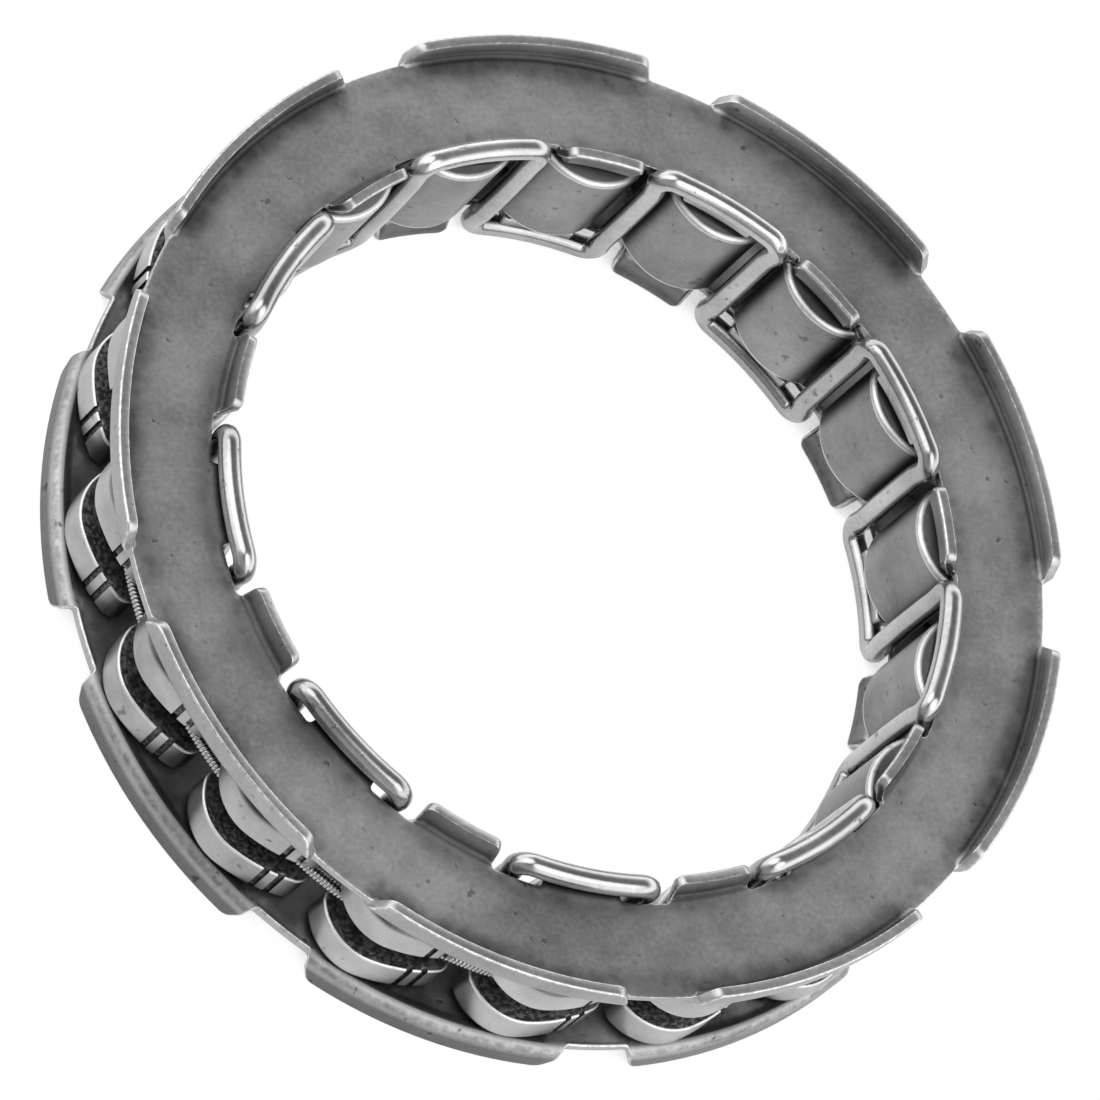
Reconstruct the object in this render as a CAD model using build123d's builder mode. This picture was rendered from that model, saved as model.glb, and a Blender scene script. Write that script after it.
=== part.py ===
# A sprag clutch: eighteen tilting sprags between two pressed side plates, which a zigzag wire
# holds together, with a garter spring round the sprags. It lies on its rear plate, axis up.

import os
from math import atan, cos, degrees, radians, sin, sqrt, tan

from build123d import *

# the two races that the sprags grip, in millimetres: their radii set where everything lies
inner_race_radius = 27.6
sprag_height = 9.65  # from the foot's cam to the head's cam, with the sprag standing at rest

# side plates
plate_span = 11.55  # outer face of one side plate to outer face of the other
plate_thickness = 0.8
rim_step = 0.25  # how far the sprags' heads stand out past the plates' rims
bore_step = 2.25  # how far the sprags' feet stand in past the plates' bores
bend_flat_count = 2  # the outside of a bend is this many short flats, which keeps the mesh light

# rim tabs, turned outwards at the rim of a plate (arcs are in degrees)
rim_tab_count = 9
rim_tab_arc = 31.5
rim_tab_height = 1.93
rim_tab_corner = 1.1

# tabs and teeth take turns round the bore of a plate
bore_tab_arc = 12.6
bore_tab_height = 1.85
bore_tab_reach = 1.4
bore_tab_corner = 0.6
tooth_arc = 12.2
tooth_reach = 1.25
tooth_rise = 0.15

# zigzag wire, which loops over the teeth of the two plates in turn
wire_diameter = 1.7
wire_side_count = 8
wire_inset = 0.95  # from the plates' bores to the middle of the wire
wire_corner = 0.8
wire_seat_gap = 0.05

# sprags: the belly and tail meet the outer race, the foot meets the inner race
sprag_end_gap = 0.3
pivot_height = 3.3
belly_radius = 4.5
belly_offset = 1.25
belly_start_angle = -57.0
belly_end_angle = 17.0
heel_height = 6.3
heel_half_width = 5.5
tail_knee_reach = 2.3  # the tail is two flats, and the first one touches the belly
tail_height = 7.36
tail_reach = 4.8
tail_depth = 0.95
foot_cam_radius = 5.3
foot_half_width = 4.2
waist_half_width = 2.5
waist_low_height = 3.0
waist_high_height = 4.4

# garter spring, closed into a ring in the grooves of the sprags
coil_diameter = 1.0
coil_side_count = 6
spring_depth = 2.65  # from the head's cam to the middle of the coil
spring_seat_gap = 0.05
groove_width = 2.8
groove_flat_count = 24  # flats in a whole turn of the groove's floor

# worked out from the sizes above
sprag_count = 2 * rim_tab_count
tab_pitch = 360 / rim_tab_count
sprag_pitch = 360 / sprag_count
tooth_angle = sprag_pitch
rim_tab_angle = sprag_pitch / 2
rear_face = rim_tab_height
front_face = rear_face + plate_span
middle = (rear_face + front_face) / 2
form_overlap = plate_thickness / 2
crown_radius = inner_race_radius + sprag_height
rim_radius = crown_radius - rim_step
rim_tab_radius = rim_radius + plate_thickness
bore_edge_radius = inner_race_radius + bore_step
bore_tab_radius = bore_edge_radius - bore_tab_reach
tooth_tip_radius = bore_edge_radius - tooth_reach
wire_radius = bore_edge_radius - wire_inset
spring_radius = crown_radius - spring_depth
sprag_pivot_radius = inner_race_radius + pivot_height
belly_centre_radius = crown_radius - belly_radius
heel_radius = inner_race_radius + heel_height
waist_low_radius = inner_race_radius + waist_low_height
waist_high_radius = inner_race_radius + waist_high_height
tail_radius = inner_race_radius + tail_height


def section(angle):
    """A plane that holds the axis, with x pointing outwards at an angle and y along the axis."""
    outwards = Vector(1, 0, 0).rotate(Axis.Z, angle)
    return Plane(origin=(0, 0, 0), x_dir=outwards, z_dir=outwards.cross(Vector(0, 0, 1)))


def turned(points, arc):
    """A stretch of plate with the given cross-section, from -arc / 2 to arc / 2 round the axis."""
    with BuildPart() as form:
        with BuildSketch(section(-arc / 2)):
            with BuildLine():
                Polyline(*points, close=True)
            make_face()
        revolve(axis=Axis.Z, revolution_arc=arc)
    return form


def bent_tab(wall_radius, outwards, root, height, corner, arc):
    """A tab bent up from the plate; outwards is 1 if its wall faces out, as at the rim, or -1."""
    inner_wall = wall_radius - outwards * plate_thickness
    turns = [radians(90 * step / bend_flat_count) for step in range(bend_flat_count + 1)]
    bend = [(inner_wall + outwards * plate_thickness * sin(turn), -plate_thickness * cos(turn))
            for turn in turns]
    wall_top = [(wall_radius, height), (inner_wall, height)]
    tab = turned([(root, -plate_thickness)] + bend + wall_top + [(inner_wall, 0), (root, 0)], arc)
    with tab:
        chamfer(tab.edges().filter_by(GeomType.LINE).group_by(Axis.Z)[-1], corner)
    return tab


# side plate, drawn with its outer face at height 0 and its tabs upwards
rim_root = rim_radius - form_overlap
bore_root = bore_edge_radius + form_overlap
rim_tab = bent_tab(rim_tab_radius, 1, rim_root, rim_tab_height, rim_tab_corner, rim_tab_arc)
bore_tab = bent_tab(bore_tab_radius, -1, bore_root, bore_tab_height, bore_tab_corner, bore_tab_arc)
tooth = turned([(bore_root, -plate_thickness), (bore_root, 0), (bore_edge_radius, 0),
                (tooth_tip_radius, tooth_rise), (tooth_tip_radius, tooth_rise - plate_thickness),
                (bore_edge_radius, -plate_thickness)], tooth_arc)

with BuildPart() as plate:
    with BuildSketch():
        Circle(rim_radius)
        Circle(bore_edge_radius, mode=Mode.SUBTRACT)
    extrude(amount=-plate_thickness)
    with PolarLocations(0, rim_tab_count, start_angle=rim_tab_angle):
        add(rim_tab.part)
    with PolarLocations(0, rim_tab_count):
        add(bore_tab.part)
    with PolarLocations(0, rim_tab_count, start_angle=tooth_angle):
        add(tooth.part)

with BuildPart() as front_side_plate:
    add(plate.part.moved(Location((0, 0, front_face))))

# the rear plate is the same pressing, turned over about the middle of a rim tab
with BuildPart() as rear_side_plate:
    add(plate.part.mirror(Plane.XY).mirror(section(rim_tab_angle)).moved(Location((0, 0, rear_face))))


# zigzag wire: a run with half of a loop at each end, then its mirror image, all the way round
run_angle = sprag_pitch / 2
corner_angle = degrees(wire_corner / wire_radius)
tooth_lean = atan(tooth_rise / (bore_edge_radius - tooth_tip_radius))
loop_height = ((bore_edge_radius - wire_radius) * tan(tooth_lean)
               + (wire_diameter / 2 + wire_seat_gap) / cos(tooth_lean))
front_loop = front_face + loop_height
rear_loop = rear_face - loop_height


def wire_point(angle, height):
    return Vector(wire_radius, 0, height).rotate(Axis.Z, angle)


half_route = [wire_point(sprag_pitch, front_loop), wire_point(run_angle + corner_angle, front_loop),
              wire_point(run_angle, front_loop - wire_corner), wire_point(run_angle, rear_loop + wire_corner),
              wire_point(run_angle - corner_angle, rear_loop), wire_point(0, rear_loop)]
half_route[0] += (half_route[0] - half_route[1]).normalized() * wire_diameter
half_route[-1] += (half_route[-1] - half_route[-2]).normalized() * wire_diameter

with BuildPart() as wire_period:
    with BuildLine() as route:
        Polyline(*half_route)
    with BuildSketch(Plane(origin=route.line @ 0, z_dir=route.line % 0)):
        RegularPolygon(wire_diameter / 2, wire_side_count)
    sweep(transition=Transition.RIGHT)
    split(bisect_by=section(sprag_pitch), keep=Keep.TOP)
    split(bisect_by=section(0), keep=Keep.BOTTOM)
    mirror(about=section(0))

with BuildPart() as zigzag_wire:
    with PolarLocations(0, rim_tab_count):
        add(wire_period.part)


# sprags, drawn with x outwards and y round the clutch
groove_floor_radius = spring_radius - coil_diameter / 2 - spring_seat_gap - sprag_pivot_radius
foot_corner_radius = inner_race_radius + foot_cam_radius - sqrt(foot_cam_radius**2 - foot_half_width**2)
sprag_length = plate_span - 2 * (plate_thickness + sprag_end_gap)


def sprag(number):
    """One sprag: a solid cam with a groove for the garter spring across its head."""
    seat = Plane.XY.offset(middle - sprag_length / 2).rotated((0, 0, number * sprag_pitch))
    with BuildPart() as piece:
        with BuildSketch(seat):
            with BuildLine():
                belly = CenterArc((belly_centre_radius, -belly_offset), belly_radius, belly_start_angle,
                                  belly_end_angle - belly_start_angle)
                knee = belly @ 1 + belly % 1 * ((tail_knee_reach - (belly @ 1).Y) / (belly % 1).Y)
                Polyline(belly @ 1, knee, (tail_radius, tail_reach), (tail_radius - tail_depth, tail_reach),
                         (waist_high_radius, waist_half_width),
                         (waist_low_radius, waist_half_width), (foot_corner_radius, foot_half_width))
                ThreePointArc((foot_corner_radius, foot_half_width), (inner_race_radius, 0),
                              (foot_corner_radius, -foot_half_width))
                Polyline((foot_corner_radius, -foot_half_width), (waist_low_radius, -waist_half_width),
                         (waist_high_radius, -waist_half_width), (heel_radius, -heel_half_width), belly @ 0)
            make_face()
        extrude(amount=sprag_length)
        with BuildSketch(seat.offset(sprag_length / 2)):
            with Locations((spring_radius, 0)):
                Rectangle(2 * (spring_radius - waist_high_radius), 4 * belly_radius)
            with Locations((sprag_pivot_radius, 0)):
                RegularPolygon(groove_floor_radius, groove_flat_count, mode=Mode.SUBTRACT)
        extrude(amount=groove_width / 2, both=True, mode=Mode.SUBTRACT)
    return piece


with BuildPart() as garter_spring:
    with BuildSketch(section(0)):
        with Locations((spring_radius, middle)):
            RegularPolygon(coil_diameter / 2, coil_side_count)
    revolve(axis=Axis.Z)

os.makedirs("parts", exist_ok=True)

front_side_plate.part.label = "front_side_plate"
export_step(front_side_plate.part, "parts/front_side_plate.step")

rear_side_plate.part.label = "rear_side_plate"
export_step(rear_side_plate.part, "parts/rear_side_plate.step")

zigzag_wire.part.label = "zigzag_wire"
export_step(zigzag_wire.part, "parts/zigzag_wire.step")

garter_spring.part.label = "garter_spring"
export_step(garter_spring.part, "parts/garter_spring.step")

for number in range(sprag_count):
    piece = sprag(number)
    piece.part.label = f"sprag_{number + 1:02d}"
    export_step(piece.part, f"parts/{piece.part.label}.step")
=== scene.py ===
# A sprag clutch of grey steel, lying on a white studio floor.
# Lengths in the dictionaries are millimetres, angles are degrees and scales of noise are
# features for each metre.
import math
import random

import bmesh
import bpy
import mathutils
from mathutils import Matrix, Vector


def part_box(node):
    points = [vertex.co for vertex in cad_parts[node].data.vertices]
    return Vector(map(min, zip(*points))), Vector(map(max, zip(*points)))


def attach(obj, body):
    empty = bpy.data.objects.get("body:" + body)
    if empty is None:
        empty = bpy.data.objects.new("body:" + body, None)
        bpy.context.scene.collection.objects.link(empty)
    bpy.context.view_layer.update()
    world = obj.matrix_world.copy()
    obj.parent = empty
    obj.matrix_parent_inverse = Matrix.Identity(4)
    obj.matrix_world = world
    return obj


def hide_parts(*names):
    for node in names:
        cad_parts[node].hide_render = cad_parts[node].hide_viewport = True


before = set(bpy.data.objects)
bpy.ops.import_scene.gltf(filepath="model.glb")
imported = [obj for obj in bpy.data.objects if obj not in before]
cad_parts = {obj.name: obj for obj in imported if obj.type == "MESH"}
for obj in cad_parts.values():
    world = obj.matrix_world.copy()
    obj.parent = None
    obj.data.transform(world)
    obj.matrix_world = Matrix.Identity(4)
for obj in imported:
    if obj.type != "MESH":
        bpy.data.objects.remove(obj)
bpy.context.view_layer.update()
mm = 0.001

clutch = {
    "tabCount": 9,
    "spragCount": 18,
    "innerRace": 27.6,
    "crown": 37.25,
    "rim": 37.0,
    "boreEdge": 29.85,
    "sheet": 0.8,
}
tabPitch = 360 / clutch["tabCount"]
spragPitch = 360 / clutch["spragCount"]
spragNodes = ["sprag_%02d" % (number + 1) for number in range(clutch["spragCount"])]
rearRest, rearInside = (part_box("rear_side_plate")[i].z / mm for i in (0, 1))
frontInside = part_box("front_side_plate")[0].z / mm
frontFace = frontInside + clutch["sheet"]
rearFace = rearInside - clutch["sheet"]
middle = (frontFace + rearFace) / 2
print("frame loaded: %d nodes" % len(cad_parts))


def polar(radius, angle, height):
    turn = math.radians(angle)
    return Vector((radius * math.cos(turn), radius * math.sin(turn), height)) * mm


def arcPoints(centre, radius, start, end, steps):
    turns = [math.radians(start + (end - start) * step / steps) for step in range(steps + 1)]
    return [Vector((centre[0] + radius * math.cos(t), centre[1] + radius * math.sin(t))) for t in turns]


def filletPoints(before, corner, after, radius, steps=5):
    # round a corner of an outline with an arc that touches both of its sides
    a, b = (before - corner).normalized(), (after - corner).normalized()
    half = a.angle(b) / 2
    centre = corner + (a + b).normalized() * radius / math.sin(half)
    first, last = corner + a * radius / math.tan(half), corner + b * radius / math.tan(half)
    points = []
    for step in range(steps + 1):
        point = first.lerp(last, step / steps)
        points.append(centre + (point - centre).normalized() * radius)
    return points


def newPiece(name, mesh, looks, node, body="cage"):
    piece = bpy.data.objects.new(name, mesh)
    bpy.context.scene.collection.objects.link(piece)
    for look in looks:
        mesh.materials.append(steels[look])
    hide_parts(node)
    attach(piece, body)


def meshFrom(name, bm, sharpAngle=32):
    bmesh.ops.recalc_face_normals(bm, faces=bm.faces)
    mesh = bpy.data.meshes.new(name)
    bm.to_mesh(mesh)
    bm.free()
    for face in mesh.polygons:
        face.use_smooth = True
    mesh.set_sharp_from_angle(angle=math.radians(sharpAngle))
    return mesh


# materials

def nodeTree(name, numbers, results):
    # a shader node group that takes a vector and some numbers, and gives out masks or tones
    group = bpy.data.node_groups.new(name, "ShaderNodeTree")
    group.interface.new_socket(name="Vector", in_out="INPUT", socket_type="NodeSocketVector")
    for label, value in numbers.items():
        socket = group.interface.new_socket(name=label, in_out="INPUT", socket_type="NodeSocketFloat")
        socket.default_value = value
    for label in results:
        group.interface.new_socket(name=label, in_out="OUTPUT", socket_type="NodeSocketFloat")
    return group, group.nodes.new("NodeGroupInput").outputs, group.nodes.new("NodeGroupOutput").inputs


def mathNode(tree, operation, first, second=None, third=None, clamp=False):
    node = tree.nodes.new("ShaderNodeMath")
    node.operation = operation
    node.use_clamp = clamp
    for socket, value in zip(node.inputs, (first, second, third)):
        if value is None:
            continue
        if isinstance(value, (int, float)):
            socket.default_value = value
        else:
            tree.links.new(value, socket)
    return node.outputs[0]


def times(tree, first, *others):
    for other in others:
        first = mathNode(tree, "MULTIPLY", first, other)
    return first


def plus(tree, first, second):
    return mathNode(tree, "ADD", first, second)


def minus(tree, first, second):
    return mathNode(tree, "SUBTRACT", first, second)


def rangeNode(tree, value, low, high, toLow=0.0, toHigh=1.0):
    node = tree.nodes.new("ShaderNodeMapRange")
    node.interpolation_type = "SMOOTHSTEP"
    tree.links.new(value, node.inputs["Value"])
    for name, number in (("From Min", low), ("From Max", high), ("To Min", toLow), ("To Max", toHigh)):
        node.inputs[name].default_value = number
    return node.outputs["Result"]


def fadeNode(tree, length, span, toLow=0.0, toHigh=1.0):
    # the same between two lengths in millimetres
    return rangeNode(tree, length, span[0] * mm, span[1] * mm, toLow, toHigh)


def noiseNode(tree, vector, scale, detail=4.0, roughness=0.6):
    node = tree.nodes.new("ShaderNodeTexNoise")
    node.inputs["Scale"].default_value = scale
    node.inputs["Detail"].default_value = detail
    node.inputs["Roughness"].default_value = roughness
    tree.links.new(vector, node.inputs["Vector"])
    return node.outputs["Fac"]


def axisParts(tree, vector):
    # the distance from the clutch's axis, the angle round it and the height
    parts = tree.nodes.new("ShaderNodeSeparateXYZ")
    tree.links.new(vector, parts.inputs[0])
    x, y, height = parts.outputs
    radius = mathNode(tree, "SQRT", plus(tree, times(tree, x, x), times(tree, y, y)))
    return radius, mathNode(tree, "ARCTAN2", y, x), height


def placeGroup(tree, group, vector, **values):
    node = tree.nodes.new("ShaderNodeGroup")
    node.node_tree = group
    for name, value in values.items():
        node.inputs[name].default_value = value
    tree.links.new(vector, node.inputs["Vector"])
    return node.outputs


skin = {
    "cloudScale": 190,
    "cloudShare": 1.2,
    "broadScale": 55,
    "waveWear": 0.5,
    "grainScale": 2600,
    "grainHeight": 0.6,
    "speckScale": 900,
    "speckSpan": (0.66, 0.74),
    "pitScale": 640,
    "pitSpan": (0.2, 0.08),
    "pitCloud": (0.52, 0.66),
    "scratchScale": 2400,
    "scratchSpan": (0.63, 0.72),
    "scratchTone": 0.35,
    "scratchHeight": 0.3,
    "scratchTurn": 0.7,  # radians
    "scratchStretch": 0.05,
    "mottleScale": 2700,
    "mottleSpan": (0.36, 0.68),
}


def makeSteelSkin():
    # cloudy tone, dark pits and specks, fine scratches and a soft grain, for every steel surface
    numbers = {"Cloud": 0.3, "Pits": 0.5, "Scratches": 0.3, "Grain": 0.3, "Mottle": 0.0}
    tree, given, result = nodeTree("steelSkin", numbers, ("Tone", "Wear", "Height"))
    vector = given["Vector"]
    cloud = noiseNode(tree, vector, skin["cloudScale"], 5)
    broad = noiseNode(tree, vector, skin["broadScale"], 3, 0.5)
    grain = noiseNode(tree, vector, skin["grainScale"], 2)
    specks = noiseNode(tree, vector, skin["speckScale"], 3, 0.5)
    cells = tree.nodes.new("ShaderNodeTexVoronoi")
    cells.feature = "F1"
    cells.inputs["Scale"].default_value = skin["pitScale"]
    tree.links.new(vector, cells.inputs["Vector"])
    pit = times(tree, rangeNode(tree, cells.outputs["Distance"], *skin["pitSpan"]),
                rangeNode(tree, cloud, *skin["pitCloud"]))
    speck = rangeNode(tree, specks, *skin["speckSpan"])
    dark = times(tree, mathNode(tree, "MAXIMUM", pit, speck), given["Pits"])
    stretched = tree.nodes.new("ShaderNodeMapping")
    stretched.inputs["Rotation"].default_value = (0.0, 0.0, skin["scratchTurn"])
    stretched.inputs["Scale"].default_value = (skin["scratchStretch"], 1.0, 1.0)
    tree.links.new(vector, stretched.inputs["Vector"])
    hair = noiseNode(tree, stretched.outputs["Vector"], skin["scratchScale"], 3)
    scratch = times(tree, rangeNode(tree, hair, *skin["scratchSpan"]), given["Scratches"])
    waves = plus(tree, times(tree, minus(tree, cloud, 0.5), skin["cloudShare"]), minus(tree, broad, 0.5))
    fine = times(tree, minus(tree, grain, 0.5), given["Grain"])
    tone = plus(tree, plus(tree, 1.0, times(tree, waves, given["Cloud"])), fine)
    tone = plus(tree, times(tree, tone, minus(tree, 1.0, dark)), times(tree, scratch, skin["scratchTone"]))
    spots = rangeNode(tree, noiseNode(tree, vector, skin["mottleScale"], 3, 0.5), *skin["mottleSpan"])
    shade = times(tree, minus(tree, 1.0, spots), given["Mottle"])
    tree.links.new(times(tree, tone, minus(tree, 1.0, shade)), result["Tone"])
    tree.links.new(plus(tree, times(tree, waves, skin["waveWear"]), plus(tree, dark, fine)), result["Wear"])
    height = minus(tree, times(tree, fine, skin["grainHeight"]),
                   plus(tree, dark, times(tree, scratch, skin["scratchHeight"])))
    tree.links.new(minus(tree, height, shade), result["Height"])
    return tree


bandPatches = {"scale": 260, "span": (0.4, 0.6), "fineScale": 1300, "fineSpan": (0.42, 0.58),
               "fineLeast": 0.25}


def makeBandMask():
    # a soft band between two radii from the clutch's axis, broken up by noise
    tree, given, result = nodeTree("bandMask", {"Radius": 0.0365, "Reach": 0.001, "Break": 0.5}, ("Mask",))
    vector = given["Vector"]
    radius = axisParts(tree, vector)[0]
    away = mathNode(tree, "ABSOLUTE", minus(tree, radius, given["Radius"]))
    near = mathNode(tree, "SUBTRACT", 1.0, mathNode(tree, "DIVIDE", away, given["Reach"]), clamp=True)
    broad = rangeNode(tree, noiseNode(tree, vector, bandPatches["scale"]), *bandPatches["span"])
    fine = rangeNode(tree, noiseNode(tree, vector, bandPatches["fineScale"]), *bandPatches["fineSpan"],
                     bandPatches["fineLeast"])
    share = plus(tree, times(tree, broad, fine, given["Break"]), minus(tree, 1.0, given["Break"]))
    tree.links.new(times(tree, near, share), result["Mask"])
    return tree


# patchy stain and painted shade along the rim tabs' bends
bendStainAndShadeSpans = {  # pairs are radii between which it fades
    "inwards": (34.6, 36.6),
    "outwards": (37.35, 37.1),
    "wall": (36.9, 37.02),
    "wallShare": 0.15,
    "bend": ((36.25, 36.6), (37.0, 36.92)),
    "bendShare": 0.5,
    "patchScale": 330,
    "patchReach": 3.0,
    "patchEnds": 0.8,
    "ends": (-0.85, -0.5),  # of a wave that is 1 at the middle of each rim tab
}


def makeBendStainAndShade():
    # darker along the bends of the rim tabs, patchy and fading inwards: partly stain, partly painted shade in
    # the corner where the tabs stand up, deepest in the bends
    tree, given, result = nodeTree("bendStainAndShade", {"Depth": 0.5}, ("Mask",))
    radius, angle, height = axisParts(tree, given["Vector"])
    patch = minus(tree, noiseNode(tree, given["Vector"], bendStainAndShadeSpans["patchScale"]), 0.5)
    ragged = plus(tree, radius, times(tree, patch, bendStainAndShadeSpans["patchReach"] * mm))
    bend = times(tree, *[fadeNode(tree, radius, span) for span in bendStainAndShadeSpans["bend"]])
    inner = plus(tree, fadeNode(tree, ragged, bendStainAndShadeSpans["inwards"]), times(tree, bend, bendStainAndShadeSpans["bendShare"]))
    outer = times(tree, fadeNode(tree, radius, bendStainAndShadeSpans["outwards"]),
                  fadeNode(tree, radius, bendStainAndShadeSpans["wall"], 1.0, bendStainAndShadeSpans["wallShare"]))
    turned = minus(tree, angle, math.radians(tabPitch / 4))
    wave = mathNode(tree, "COSINE", times(tree, turned, clutch["tabCount"]))
    within = rangeNode(tree, plus(tree, wave, times(tree, patch, bendStainAndShadeSpans["patchEnds"])), *bendStainAndShadeSpans["ends"])
    tree.links.new(times(tree, inner, outer, within, given["Depth"]), result["Mask"])
    return tree


# painted highlight and painted shade round the rim tabs' bends, and painted light on the tabs' insides
bendLight = {  # depths are from a plate's outer face towards the middle of the clutch
    "line": ((0.05, 0.25), (0.6, 0.4)),
    "lineRadius": (37.0, 37.2),
    "speckleScale": 1500,
    "speckleSpan": (0.35, 0.65),
    "speckleTone": (-0.3, 0.1),
    "below": (0.5, 0.75),
    "belowRadius": (36.4, 36.8),
    "nearFloor": (0.1, -0.6),  # heights from the rear plate's outer face
    "nearFloorRadius": (37.2, 37.5),
    "shade": 0.6,
    "wall": ((36.9, 36.98), (37.5, 37.2)),
    "wallDepth": (-0.2, -0.6),
    "wallGain": 0.4,
}


def makeBendLightAndShade():
    # round the outside of the rim tabs' bends a speckled line, partly wear and partly painted highlight, with
    # painted shade below it and near the floor, and a paler tone on the inside of the tabs that is painted
    # light
    tree, given, result = nodeTree("bendLightAndShade", {}, ("Tone",))
    radius, angle, height = axisParts(tree, given["Vector"])
    away = mathNode(tree, "ABSOLUTE", minus(tree, height, middle * mm))
    depth = minus(tree, (frontFace - rearFace) / 2 * mm, away)
    line = times(tree, *[fadeNode(tree, depth, span) for span in bendLight["line"]],
                 fadeNode(tree, radius, bendLight["lineRadius"]))
    speckle = rangeNode(tree, noiseNode(tree, given["Vector"], bendLight["speckleScale"]),
                        *bendLight["speckleSpan"], *bendLight["speckleTone"])
    below = times(tree, fadeNode(tree, depth, bendLight["below"]),
                  fadeNode(tree, radius, bendLight["belowRadius"], 0.0, bendLight["shade"]))
    floorSpan = [rearFace + span for span in bendLight["nearFloor"]]
    low = times(tree, fadeNode(tree, height, floorSpan),
                fadeNode(tree, radius, bendLight["nearFloorRadius"], 0.0, bendLight["shade"]))
    wall = times(tree, *[fadeNode(tree, radius, span) for span in bendLight["wall"]],
                 fadeNode(tree, depth, bendLight["wallDepth"], 0.0, bendLight["wallGain"]))
    paintedLight = times(tree, plus(tree, 1.0, times(tree, line, speckle)),
                  minus(tree, 1.0, mathNode(tree, "MAXIMUM", below, low)), plus(tree, 1.0, wall))
    tree.links.new(paintedLight, result["Tone"])
    return tree


headShade = {
    "tail": (5.4, 7.6),  # degrees from the middle of a sprag
    "tailRadius": (32.6, 33.4),
    "ends": (4.1, 4.6),  # from the middle of its length
    "endRadius": (33.6, 34.6),
    "endShare": 0.85,
}


def makeTailShade():
    # the sprags' tails are dark behind their neighbours, and the ends of their heads under the plates
    tree, given, result = nodeTree("tailShade", {}, ("Mask",))
    radius, angle, height = axisParts(tree, given["Vector"])
    half = math.radians(spragPitch / 2)
    within = mathNode(tree, "WRAP", angle, half, -half)
    tail = times(tree, rangeNode(tree, within, *[math.radians(turn) for turn in headShade["tail"]]),
                 fadeNode(tree, radius, headShade["tailRadius"]))
    away = mathNode(tree, "ABSOLUTE", minus(tree, height, middle * mm))
    ends = times(tree, fadeNode(tree, away, headShade["ends"], 0.0, headShade["endShare"]),
                 fadeNode(tree, radius, headShade["endRadius"]))
    tree.links.new(mathNode(tree, "MAXIMUM", tail, ends), result["Mask"])
    return tree


steelSkin = makeSteelSkin()
bendLightAndShade = makeBendLightAndShade()
tailShade = makeTailShade()
bendStainAndShade = makeBendStainAndShade()
bandMask = makeBandMask()

finish = {
    "pieceShift": (0.3, 0.17, 0.23),  # metres by which the pattern differs from sprag to sprag
    "cornerShadeReach": 2.2,
    "cornerShadeSpan": (0.1, 0.95),
    "roughWear": 0.22,
    "bumpDepth": 0.05,
}


def makeSteel(name, look):
    material = bpy.data.materials.new(name)
    material.use_nodes = True
    tree = material.node_tree
    shader = tree.nodes["Principled BSDF"]
    shader.inputs["Metallic"].default_value = 1.0
    place = tree.nodes.new("ShaderNodeTexCoord").outputs["Object"]
    vector = place
    if look.get("perPiece"):
        info = tree.nodes.new("ShaderNodeObjectInfo")
        shift = tree.nodes.new("ShaderNodeVectorMath")
        shift.operation = "MULTIPLY_ADD"
        shift.inputs[1].default_value = finish["pieceShift"]
        tree.links.new(info.outputs["Random"], shift.inputs[0])
        tree.links.new(place, shift.inputs[2])
        vector = shift.outputs[0]
    amounts = {label: look.get(label.lower(), 0.0)
               for label in ("Cloud", "Pits", "Scratches", "Grain", "Mottle")}
    steel = placeGroup(tree, steelSkin, vector, **amounts)
    tone = steel["Tone"]
    # darker rings round the clutch's axis, painted shade where they lie on the bore tabs' bends
    for radius, reach, depth, broken in look.get("bands", []):
        band = placeGroup(tree, bandMask, place, Radius=radius * mm, Reach=reach * mm, Break=broken)
        tone = times(tree, tone, minus(tree, 1.0, times(tree, band["Mask"], depth)))
    # patchy stain and painted shade along the rim tabs' bends, with a painted highlight and painted shade
    # round them
    if "stainAndShade" in look:
        stainAndShade = placeGroup(tree, bendStainAndShade, place, Depth=look["stainAndShade"])
        paintedLight = placeGroup(tree, bendLightAndShade, place)
        tone = times(tree, tone, minus(tree, 1.0, stainAndShade["Mask"]), paintedLight["Tone"])
    if "tail" in look:
        tail = placeGroup(tree, tailShade, place)
        tone = times(tree, tone, minus(tree, 1.0, times(tree, tail["Mask"], look["tail"])))
    # painted shade: darker in corners and where parts meet, by how closed in each point is
    corners = tree.nodes.new("ShaderNodeAmbientOcclusion")
    corners.samples = 3
    corners.inputs["Distance"].default_value = finish["cornerShadeReach"] * mm
    tone = times(tree, tone, rangeNode(tree, corners.outputs["AO"], *finish["cornerShadeSpan"], look["cornerShade"], 1.0))
    colour = tree.nodes.new("ShaderNodeCombineColor")
    for socket in colour.inputs:
        tree.links.new(mathNode(tree, "MULTIPLY", tone, look["grey"], clamp=True), socket)
    tree.links.new(colour.outputs[0], shader.inputs["Base Color"])
    wear = times(tree, steel["Wear"], finish["roughWear"])
    tree.links.new(mathNode(tree, "ADD", look["roughness"], wear, clamp=True), shader.inputs["Roughness"])
    bump = tree.nodes.new("ShaderNodeBump")
    bump.inputs["Strength"].default_value = look["bump"]
    bump.inputs["Distance"].default_value = finish["bumpDepth"] * mm
    tree.links.new(steel["Height"], bump.inputs["Height"])
    tree.links.new(bump.outputs["Normal"], shader.inputs["Normal"])
    return material
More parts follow.
